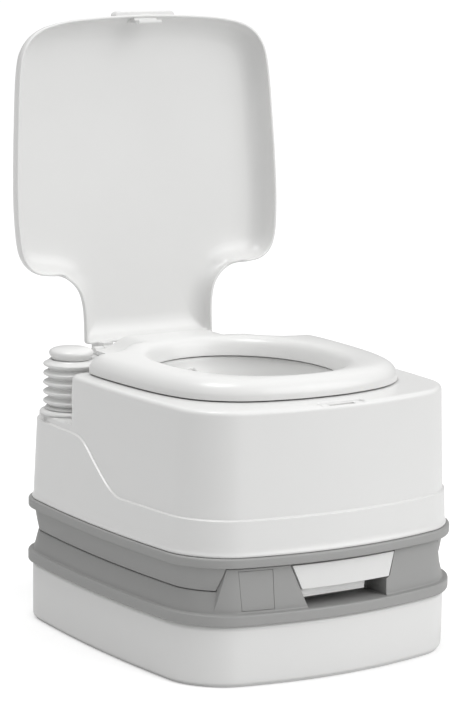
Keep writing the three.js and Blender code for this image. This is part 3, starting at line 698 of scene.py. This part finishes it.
casing = stack("white_flush_casing", [
    *lip_rings, *lower_rings, *step_rings, *upper_rings, *platform_rings, *top_rings, *deck_rings, *hole_rings,
], ends="join")
print("casing net:", len(casing.data.vertices), "points")

# %% [markdown]
# Only three things are cut from the casing: the shallow catch bed in the deck's front edge with its slot, and the
# well for the hinge lugs behind. The posts that hold the hinge pins stand in that well.
# %% Catch and hinge
catch_bed = rounded_edges(block("catch_bed", (-28, 28), (-215, -185.5), (298.6, 310)), 1.0)
catch_slot = rounded_edges(block("catch_slot", (-17, 17), (-194, -187), (286, 310)), 1.0)
hinge_well = rounded_edges(block("hinge_well", (-85, 85), (183, 240), (292.5, 330)), 1.5)
cut(casing, catch_bed, catch_slot, hinge_well)
casing.data.shade_smooth()
casing.data.set_sharp_from_angle(angle=math.radians(40))


def hinge_lugs(name, near, far, start, end, arm):
    """A lug each side, round the hinge line: an arc from start to end and an arm, in [y, z] from the line."""
    outline = np.array([*arc((0, 0), LUG_RADIUS, start, end, 18), *arm]) + HINGE
    return [rounded_edges(prism(name, outline, *sorted((side * near, side * far)), axes="yzx"), 0.6)
            for side in (-1, 1)]


posts = [post for near, far in ((29, 42), (72, 84.5))
         for post in hinge_lugs("post", near, far, 0, 180, [(-7, -11), (7, -11)])]
placed(joined(casing, *posts), "upper_section", "white_shell", "flush_casing")

# %% [markdown]
# ## The bowl
# A separate moulding that hangs in the deck: an egg-shaped opening that narrows to the round outlet. Its wall is
# lofted through a few measured levels, inside and outside in one closed net, so that its rim has a real thickness.
# %% Bowl
BOWL_FOOT = 119.4
BOWL_LEVELS = [
    (BOWL_FOOT, 42, -47, 37), (140, 44, -49, 39), (165, 56, -66, 50), (200, 76, -92, 72), (245, 94, -114, 95),
    (285, 103, -124, 112), (DECK, 105, -127, 116),
]
WALL = 2.6


def oval(half_width, front, rear, exponent=2.15, count=144):
    directions = np.linspace(0, 2 * math.pi, count, endpoint=False)
    circle = np.column_stack([np.cos(directions), np.sin(directions) + (front + rear) / 2])
    return oval_towards(circle, half_width, front, rear, exponent)


levels = smooth_through(BOWL_LEVELS, 48)
levels[:, 0] = np.clip(levels[:, 0], BOWL_FOOT, DECK)
inside = [ring_points(oval(half - WALL, front + WALL, rear - WALL), z)
          for z, half, front, rear in levels]
outside = [ring_points(oval(half, front, rear), z) for z, half, front, rear in levels]
lip = [ring_points(oval(half, front, rear), DECK + 0.35) for half, front, rear in (
    (104.3, -126.3, 115.3), (103.1, -125.1, 114.1),
)]
bowl = stack("white_bowl", [*outside, *lip, *inside[::-1]], ends="join")
placed(bowl, "upper_section", "white_shell", "bowl")

# %% [markdown]
# ## The seat
# A hollow ring, domed on top, that reaches back in a tall tongue to the hinge. The same ring net as the casing's is
# used: from the outer edge over the crest to the opening, and back inside the wall. Only the tongue needs a rule of
# its own, so each point's height is held under a second surface that falls at the tongue's shoulders and end.
# %% Seat
SEAT_EDGE = [
    (0, -161), (35, -159), (81, -149), (113, -132), (137, -105), (151, -62), (157, -10), (159, 40), (158, 70),
    (155, 83), (147, 91.5), (137, 94), (126, 95), (114, 100.5), (98, 116), (91, 138), (88, 160), (88, 184),
]
LID_EDGE = [
    (0, -392), (60, -390), (108, -386), (142, -377), (162, -359), (171, -330), (176, -264), (179, -200),
    (179, -160), (176, -125), (168, -106), (154, -96), (136, -93), (120, -91), (106, -84), (95, -72),
    (90, -58), (88, -40), (88, -9),
]
LID_HEIGHT = LID_TOP - HINGE[1]
LID_FLOOR = LID_HEIGHT - WALL
LID_HOLLOW = [(4.4, 7.6), (4.8, 9), (7.6, 15), (12.6, 22), (20.6, LID_FLOOR - 0.4)]
SEAT_END, LID_END = 184, -9
CREST = 324


def mirrored(edge, count):
    """A closed anticlockwise outline from its right half, given from front to rear."""
    right = respaced(np.asarray(edge, float), count)
    return np.vstack([right, (right[1:-1] * [-1, 1])[::-1]])


def drawn_in(edge, end, radius, distance, count=170):
    """The outline of a right edge moved inwards by distance, with its rear end and corners drawn in too."""
    curve = smooth_through(edge, 240)
    along = np.gradient(curve, axis=0)
    along /= np.linalg.norm(along, axis=1)[:, None]
    curve = curve + np.column_stack([-along[:, 1], along[:, 0]]) * distance
    curve[0, 0] = 0
    corner_radius = max(radius - distance, 1.2)
    middle = end - distance - corner_radius
    curve = curve[curve[:, 1] < middle]
    corner = arc((curve[-1, 0] - corner_radius, middle), corner_radius, 0, 90, 8)
    return mirrored(np.vstack([curve, corner, [(0, end - distance)]]), count)


LID_PLAN = drawn_in(LID_EDGE, LID_END, 7, 0, 190) + [0, HINGE[0]]


def depth_inside(plan, outline):
    """How far each point is from a closed outline round it."""
    starts, ends = outline, np.roll(outline, -1, 0)
    way = ends - starts
    offset = plan[:, None] - starts[None]
    share = np.clip((offset * way).sum(2) / (way**2).sum(1), 0, 1)
    return np.linalg.norm(offset - share[:, :, None] * way, axis=2).min(1)


def soft_minimum(a, b, blend=1.6):
    """The lower of two heights, with the crease between them rounded over about blend millimetres."""
    lower = np.minimum(a, b)
    return lower - blend * np.log1p(np.exp(-abs(a - b) / blend))


def tongue_top(plan):
    """The highest that the seat may be: it has shoulders behind, and has to fit in the closed lid."""
    x, y = abs(plan[:, 0]), plan[:, 1]
    shoulder = 307 + (CREST + 1 - 307) * eased((84 - x) / 38)
    under_lid = HINGE[1] + np.interp(depth_inside(plan, LID_PLAN), *zip(*LID_HOLLOW))
    return soft_minimum(shoulder + 40 * (1 - eased((y - 92) / 40)), under_lid + 40 * (1 - eased((y - 70) / 14)))


def seat_ring(distance, z, share=0.0, inner=0.0):
    """A ring of the seat: share slides it from the outer edge to the opening, which inner enlarges."""
    outer = drawn_in(SEAT_EDGE, SEAT_END, 7, distance)
    hole = oval_towards(outer, 100 + inner, -122 - inner, 111 + inner, 2.1)
    plan = outer + (hole - outer) * share
    height = np.full(len(plan), float(z))
    return np.column_stack([plan, soft_minimum(height, tongue_top(plan), 0.8) if z > 306 else height])


outer_side = [(0, 302.3), (0, 305.5), (0.1, 307.6), (0.7, 309.9), (1.9, 312.6), (3.7, 315.4), (6.2, 318.1),
              (9.4, 320.4), (13.2, 322.1), (17.4, 323.2)]
seat_rings = [seat_ring(0.6, SEAT_BOTTOM)]
seat_rings += [seat_ring(distance, z) for distance, z in outer_side]
seat_rings += [seat_ring(17.4, z, share, 12) for share, z in (
    (0.1, 323.5), (0.22, 323.8), (0.35, 323.9), (0.5, 323.9), (0.65, 323.8), (0.8, 323.4), (0.92, 322.9), (1, 322.4),
)]
seat_rings += [seat_ring(0, z, 1, grow) for grow, z in (
    (9.2, 321.0), (7.1, 319.2), (5.4, 317), (4.0, 314.2), (2.7, 310.6), (1.5, 306.6), (0.7, 303.6), (0.6, 302.5),
    (1.2, SEAT_BOTTOM), (2.8, SEAT_BOTTOM), (3.4, 303), (4.6, 308), (7.2, 313.6), (12, 317.6),
)]
seat_rings += [seat_ring(20, z, share, 14) for share, z in ((0.6, 319.5), (0, 318.6))]
seat_rings += [seat_ring(distance, z) for distance, z in (
    (10, 315), (6, 311), (3.4, 307), (2.8, 304), (2.6, SEAT_BOTTOM),
)]
for ring in seat_rings[-9:]:
    ring[:, 2] = np.minimum(ring[:, 2], np.maximum(tongue_top(ring[:, :2]) - WALL, SEAT_BOTTOM))
seat = stack("white_seat", seat_rings, ends="join")
for x in ((-85, -58), (58, 85)):
    cut(seat, block("seat_relief", x, (179.4, 202), (300, 332)))
seat.data.set_sharp_from_angle(angle=math.radians(42))
seat_lugs = hinge_lugs("seat_lug", 43, 57.4, -180, 65, [(3, 7), (-12, 7), (-12, 0)])
placed(joined(seat, *seat_lugs), "seat_ring", "white_shell", "seat")

# %% [markdown]
# ## The lid
# A shallow tray. Its floor meets the sides in a wide fillet, so light slides over it without a line. It is drawn
# closed, about the hinge line, and then turned up into the place that the frame shows at rest. A lifting tab stands
# out of its front edge, and the hook behind it snaps into the slot in the deck.
# %% Lid


def lid_ring(distance, height, top, towards_middle=0.0):
    """A ring of the lid; near the neck its rim is raised, to clear the seat's tongue."""
    plan = drawn_in(LID_EDGE, LID_END, 3, distance, 190)
    plan += (np.array([0, -200]) - plan) * towards_middle
    raised = 9 * eased((plan[:, 1] + 98) / 9) * eased((136 - abs(plan[:, 0])) / 10)
    return ring_points(plan, raised + height * (top - raised) / top)


lid_outside = [(0.5, 0), (0.05, 0.5), (0, 1.4), (0, 4), (0.4, 7.2), (1.3, 10.6), (2.4, 14), (3.8, 17.3),
               (5.4, 20.2), (7.6, 23), (10.6, 25.3), (14.2, 26.8), (18.4, 27.6)]
lid_inside = [(2.2, 0), (2.75, 0.5), (2.85, 1.4), (3.0, 4), (3.7, 7.6), (4.9, 11.2), (6.6, 14.6), (8.9, 17.8),
              (12.0, 20.6), (15.8, 22.8), (20, 24.3)]
inner = [lid_ring(20, height, LID_FLOOR, share) for share, height in (
    (0.62, LID_FLOOR), (0.4, LID_FLOOR), (0.24, 25.35), (0.12, 25.2), (0.05, 24.8),
)]
inner += [lid_ring(distance, height, LID_FLOOR) for distance, height in lid_inside[::-1]]
outer = [lid_ring(distance, height, LID_HEIGHT) for distance, height in lid_outside]
outer += [lid_ring(18.4, height, LID_HEIGHT, share) for share, height in ((0.06, 27.9), (0.3, 28), (0.62, 28))]
lid = stack("white_lid", [*inner, *outer])
lid_tab = rounded_edges(combined(
    block("lid_tab", (-42, 42), (-396.5, -388), (2, 14.5)),
    prism("tab_plan", np.vstack([
        arc((-35, -390.5), 5.5, 180, 270, 6), arc((35, -390.5), 5.5, 270, 360, 6), [(41, -380), (-41, -380)],
    ]), 0, 20), "INTERSECT"), 1.4, segments=3)
lid_hook = rounded_edges(prism("lid_hook", [
    (-382.4, 25), (-390.2, 25), (-390.2, 2.5), (-385.4, 1.5), (-385.4, -9), (-382.4, -9), (-380.5, -6.6),
    (-380.5, -5), (-382.4, -3.4),
], -15.5, 15.5, axes="yzx"), 0.4)
lid_lugs = hinge_lugs("lid_lug", 58, 71.6, -168, 90, [(0, 26), (-10.6, 26), (-10.6, -1.5)])
joined(lid, lid_tab, lid_hook, *[moved(lug, 0, -HINGE[0], -HINGE[1]) for lug in lid_lugs])
lid.data.transform(Matrix.Translation((0, HINGE[0] * MM, HINGE[1] * MM))
                   @ Matrix.Rotation(math.radians(-LID_ANGLE), 4, "X"))
placed(lid, "lid_cover", "white_shell", "lid")

# %% [markdown]
# ## What repeats
# The pump's bellows are one fold made five times over, and the caps have the same grip rib all round. Geometry
# Nodes do both with one tree: it copies the mesh that it is given Count times, each copy moved by Offset and turned
# by Turn from the one before, welds them and gives them their finish.
# %% The repeat tree


def repeat_tree():
    tree = bpy.data.node_groups.new("repeated_piece", "GeometryNodeTree")
    sockets = (("Geometry", "NodeSocketGeometry"), ("Count", "NodeSocketInt"), ("Offset", "NodeSocketVector"),
               ("Turn", "NodeSocketFloat"), ("Finish", "NodeSocketMaterial"))
    for name, kind in sockets:
        tree.interface.new_socket(name, in_out="INPUT", socket_type=kind)
    tree.interface.new_socket("Geometry", in_out="OUTPUT", socket_type="NodeSocketGeometry")
    given = add_node(tree, "NodeGroupInput").outputs
    line = add_node(tree, "GeometryNodeMeshLine", {"mode": "OFFSET"},
                    {"Count": given["Count"], "Offset": given["Offset"]})
    number = add_node(tree, "GeometryNodeInputIndex")
    angle = add_node(tree, "ShaderNodeMath", {"operation": "MULTIPLY"}, {0: number.outputs[0], 1: given["Turn"]})
    turn = add_node(tree, "ShaderNodeCombineXYZ", {}, {"Z": angle.outputs[0]})
    copies = add_node(tree, "GeometryNodeInstanceOnPoints", {}, {
        "Points": line.outputs[0], "Instance": given["Geometry"], "Rotation": turn.outputs[0],
    })
    real = add_node(tree, "GeometryNodeRealizeInstances", {}, {"Geometry": copies.outputs[0]})
    weld = add_node(tree, "GeometryNodeMergeByDistance", {"Distance": 0.01 * MM}, {"Geometry": real.outputs[0]})
    finish = add_node(tree, "GeometryNodeSetMaterial", {},
                      {"Geometry": weld.outputs[0], "Material": given["Finish"]})
    add_node(tree, "NodeGroupOutput", {}, {"Geometry": finish.outputs[0]})
    return tree


REPEAT = repeat_tree()


def repeated(piece, count, offset=(0, 0, 0), turn=0.0, finish=ABS_WHITE):
    """The piece's mesh made count times, by the repeat tree."""
    modifier = piece.modifiers.new("repeat", "NODES")
    modifier.node_group = REPEAT
    values = {"Count": count, "Offset": [step * MM for step in offset], "Turn": turn, "Finish": finish}
    for item in REPEAT.interface.items_tree:
        if item.in_out == "INPUT" and item.name in values:
            modifier[item.identifier] = values[item.name]
    return baked(piece)


# %% [markdown]
# ## The bellows pump
# Polyethylene blown into a ribbed mould: rounded ridges, sharper valleys. Pressing the knob folds it flat; the knob
# here is a body of its own, while the bellows keep their full height on their fixed foot.
# %% Bellows
PUMP = (-143, 143)
RIB_FIRST, RIB_PITCH, RIB_COUNT = 254, 10.7, 5
RIDGE, VALLEY = 32, 25.2
BELLOWS_TOP = RIB_FIRST + RIB_PITCH * RIB_COUNT


def ends_closed(piece):
    """Caps the open ends of a sleeve."""
    mesh = bmesh.new()
    mesh.from_mesh(piece.data)
    bmesh.ops.holes_fill(mesh, edges=[edge for edge in mesh.edges if edge.is_boundary])
    bmesh.ops.recalc_face_normals(mesh, faces=mesh.faces)
    mesh.to_mesh(piece.data)
    mesh.free()


half_fold = [(VALLEY, 0), (VALLEY + 0.35, 0.5), (VALLEY + 1.6, 1.45), (VALLEY + 3.6, 2.65), (RIDGE - 1.2, 3.6),
             (RIDGE - 0.35, 4.2), (RIDGE, 5.0)]
fold = half_fold + [(radius, RIB_PITCH - height) for radius, height in half_fold[::-1]]
bellows = new_object("white_pump_bellows", circles(fold, 96), strips(len(fold), 96, "open"))
repeated(bellows, RIB_COUNT, offset=(0, 0, RIB_PITCH))
ends_closed(bellows)
moved(bellows, *PUMP, RIB_FIRST)
foot = turned("bellows_foot", [
    (VALLEY - 1.5, 250.3), (29, 250.3), (29.6, 250.8), (29.6, 252.2), (28.8, 253), (VALLEY, RIB_FIRST),
    (VALLEY - 1.5, RIB_FIRST),
], (*PUMP, 0), steps=96)
crown = turned("bellows_crown", [
    (0, BELLOWS_TOP - 1.6), (VALLEY, BELLOWS_TOP - 0.4), (VALLEY - 1, BELLOWS_TOP), (0, BELLOWS_TOP),
], (*PUMP, 0), steps=96)
joined(bellows, foot, crown)
placed(bellows, "upper_section", "white_shell", "pump_bellows")
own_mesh(bellows)

# %% Knob and foot ring
knob = turned("white_pump_knob", [
    (0, 307.8), (21.4, 307.8), (22.2, 308.1), (22.6, 309), (23.2, 310.6), (24.4, 311.9), (25.2, 313.2),
    (25.5, 314.8), (25.2, 316.4), (24.2, 317.9), (22.2, 319.2), (19, 320.3), (14, 321.2), (7, 321.8), (0, 322),
], (*PUMP, 0), steps=96)
placed(knob, "pump_top", "white_shell", "pump_knob")
foot_ring = turned("white_pump_base", [
    (24, 236), (32.6, 236), (32.6, 245.3), (35.2, 245.3), (35.8, 245.6), (36, 246.2), (36, 247.2), (35.6, 248.1),
    (34.6, 249), (33.2, 249.7), (31.8, 250), (8, 250), (8, 247), (24, 247),
], (*PUMP, 0), steps=96)
placed(foot_ring, "upper_section", "white_shell", "pump_base")

# %% [markdown]
# ## Caps
# Screw caps with a rib for each fingertip: a smooth crown, and the ribs from the repeat tree.
# %% Filler cap
FILLER = (143, 143)


def grip_ribs(name, radius, low, high, width, count, finish):
    """Rounded ribs round a cap's side, about the origin."""
    half = width / 2
    section = arc((radius, 0), half, -90, 90, 6)
    rib = prism(name, np.vstack([section, [(radius - 1.5, half), (radius - 1.5, -half)]]), low, high)
    rounded_edges(rib, 0.25)
    return repeated(rib, count, turn=2 * math.pi / count, finish=finish)


cap = turned("white_filler_cap", [
    (20.6, 249.3), (24.6, 249.3), (25, 249.8), (25, 259.6), (24.7, 260.9), (23.9, 261.9), (22.6, 262.6),
    (20.8, 262.9), (19.4, 262.6), (17.5, 262.2), (9, 262.3), (0, 262.5), (0, 258.4), (20.6, 258.4),
], (*FILLER, 0), steps=96)
ribs = grip_ribs("cap_ribs", 25.2, 250.2, 260.2, 1.9, 30, ABS_WHITE)
placed(joined(cap, moved(ribs, *FILLER, 0)), "filler_closure", "white_shell", "filler_cap")

# %% [markdown]
# ## The pour-out spout
# It lies in the rear niche: a tube that turns up from its bearing in a tight elbow and ends in a screw cap. The
# elbow and the tube are one sweep of circles, outside and bore together.
# %% Spout
NECK_END, NECK_START = -72, -61
TUBE_RADIUS, BORE = 17, 13.5


def along_spout(radius, steps=48):
    """Circles of one radius from the bearing round the elbow to the neck."""
    turn = TUBE_RADIUS + 0.3
    stations = []
    pivot = (SPOUT[0] - turn, SPOUT[2] - turn)
    for angle in np.radians(np.linspace(0, 90, 13)):
        stations.append(((pivot[0] + turn * math.cos(angle), pivot[1] + turn * math.sin(angle)), angle))
    stations += [((x, SPOUT[2]), math.pi / 2) for x in np.linspace(pivot[0] - 4, NECK_START, 8)]
    angles = np.linspace(0, 2 * math.pi, steps, endpoint=False)
    rings = []
    for (x, z), tilt in stations:
        sideways, across = radius * np.cos(angles), radius * np.sin(angles)
        rings.append(np.column_stack([
            x + sideways * math.cos(tilt), SPOUT[1] + across, z + sideways * math.sin(tilt),
        ]))
    return rings


spout = stack("grey_pour_spout", along_spout(TUBE_RADIUS) + along_spout(BORE)[::-1], ends="join")
neck = turned("spout_neck", [
    (BORE, NECK_END), (15, NECK_END), (15.2, NECK_END + 0.3), (15.2, NECK_START - 0.6),
    (TUBE_RADIUS, NECK_START - 0.6), (TUBE_RADIUS, NECK_START + 0.4), (BORE, NECK_START + 0.4),
], (0, *SPOUT[1:]), steps=48, axis="x")
collar = turned("spout_collar", [
    (TUBE_RADIUS - 1, 90), (18.6, 90), (19, 90.5), (19, 92.6), (18.6, 93.1), (TUBE_RADIUS - 1, 93.6),
], (*SPOUT[:2], 0), steps=48)
placed(joined(spout, neck, collar), "spout_arm", "grey_trim", "pour_spout")

# %% Spout cap
closure = turned("dark_spout_cap", [
    (0, -78), (16.4, -78), (17.9, -77.5), (18.8, -76.4), (19, -75), (19, -61.5), (15.4, -61.3), (15.4, -74.6),
    (0, -74.6),
], (0, *SPOUT[1:]), steps=72, axis="x")
side_ribs = grip_ribs("spout_cap_ribs", 19.3, -76, -61.8, 1.7, 22, PP_DARK)
side_ribs.data.transform(Matrix.Translation((0, SPOUT[1] * MM, SPOUT[2] * MM))
                         @ Matrix(((0, 0, 1, 0), (1, 0, 0, 0), (0, 1, 0, 0), (0, 0, 0, 1))))
placed(joined(closure, side_ribs), "spout_closure", "dark_fitting", "spout_cap")

# %% [markdown]
# ## Floor, light and camera
# A white product asks for a white room: a pale floor, a sky that is dim at the horizon and bright overhead, a soft
# sun in front on the right and a square lamp above. Floor and sky look white in the picture, but they throw less
# light than that on the object, so its left side falls into a soft shade and keeps its shape.
# %% Floor and lights
SKY_LOW, SKY_HIGH = 0.16, 0.96
FLOOR_GLOW = 0.34
FLOOR_HALF = 30000


def studio_floor():
    """A pale floor that glows a little for the camera alone."""
    material = bpy.data.materials.new("pale_studio_floor")
    material.use_nodes = True
    shader = material.node_tree.nodes["Principled BSDF"]
    shader.inputs["Base Color"].default_value = linear("#E2E2E2")
    shader.inputs["Emission Color"].default_value = linear("#FFFFFF")
    glow = add_node(material.node_tree, "ShaderNodeMath", {"operation": "MULTIPLY", 1: FLOOR_GLOW}, {
        0: add_node(material.node_tree, "ShaderNodeLightPath").outputs["Is Camera Ray"],
    })
    material.node_tree.links.new(glow.outputs[0], shader.inputs["Emission Strength"])
    shader.inputs["Roughness"].default_value = 0.9
    shader.inputs["Specular IOR Level"].default_value = 0.1
    corners = [(x * FLOOR_HALF, y * FLOOR_HALF, 0) for x, y in CORNER_SIGNS]
    floor = new_object("studio_floor", corners, [(0, 1, 2, 3)])
    floor.data.materials.append(material)
    floor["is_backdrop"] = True


def studio_sky():
    """A white cove: dim at the horizon, where it lights the sides, and bright overhead."""
    world = bpy.data.worlds.new("white_studio")
    bpy.context.scene.world = world
    world.use_nodes = True
    tree = world.node_tree
    sky = tree.nodes["Background"]
    sky.inputs["Color"].default_value = (1, 1, 1, 1)
    direction = add_node(tree, "ShaderNodeSeparateXYZ", {},
                         {"Vector": add_node(tree, "ShaderNodeTexCoord").outputs["Generated"]})
    height = add_node(tree, "ShaderNodeMapRange", {
        "From Min": 0.0, "From Max": 0.9, "To Min": SKY_LOW, "To Max": SKY_HIGH,
    }, {"Value": direction.outputs["Z"]})
    seen = add_node(tree, "ShaderNodeLightPath")
    strength = add_node(tree, "ShaderNodeMix", {"data_type": "FLOAT", 3: 1.0}, {
        0: seen.outputs["Is Camera Ray"], 2: height.outputs["Result"],
    })
    tree.links.new(strength.outputs[0], sky.inputs["Strength"])


def lamp(name, kind, place, aim, power):
    """A lamp that shines from place towards aim, both in metres."""
    data = bpy.data.lights.new(name, kind)
    data.energy = power
    made = in_scene(name, data)
    made.location = place
    made.rotation_euler = (Vector(aim) - Vector(place)).to_track_quat("-Z", "Y").to_euler()
    return data


studio_floor()
studio_sky()
lamp("key_right_front", "SUN", (2.4, -3.2, 2.2), (0, 0, 0), 1.3).angle = math.radians(50)
lamp("overhead", "AREA", (-0.6, 0.1, 3.2), (0, 0, 0.3), 27).size = 0.9

# %% [markdown]
# The camera stands well back with a long lens, a little above the seat, so the upright edges stay nearly parallel.
# Its direction is given by azimuth and elevation.
# %% Camera
CAMERA_AZIMUTH, CAMERA_ELEVATION, CAMERA_ROLL = (math.radians(angle) for angle in (-33.58, 9.96, 0.97))
CAMERA_DISTANCE = 3301.02
AIM_SIDEWAYS, AIM_HEIGHT = -8.49, 327.33
camera = in_scene("camera", bpy.data.cameras.new("camera"))
camera.data.lens = 149.9
camera.data.clip_start, camera.data.clip_end = 0.1, 100
camera.matrix_world = (
    Matrix.Rotation(CAMERA_AZIMUTH, 4, "Z") @ Matrix.Translation((AIM_SIDEWAYS * MM, 0, AIM_HEIGHT * MM))
    @ Matrix.Rotation(math.pi / 2 - CAMERA_ELEVATION, 4, "X") @ Matrix.Translation((0, 0, CAMERA_DISTANCE * MM))
    @ Matrix.Rotation(CAMERA_ROLL, 4, "Z")
)
bpy.context.scene.camera = camera
bpy.context.scene.view_settings.view_transform = "Standard"

# %% [markdown]
# ## Size
# Both boxes, the frame's and the finished object's, are printed.
# %% Print the sizes and finish
visual_box = [list(map(float, corner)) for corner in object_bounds()]
for label, (low, high) in (("frame", cad_box), ("looks", visual_box)):
    print(label, "box in mm:", [round((b - a) / MM, 1) for a, b in zip(low, high)])
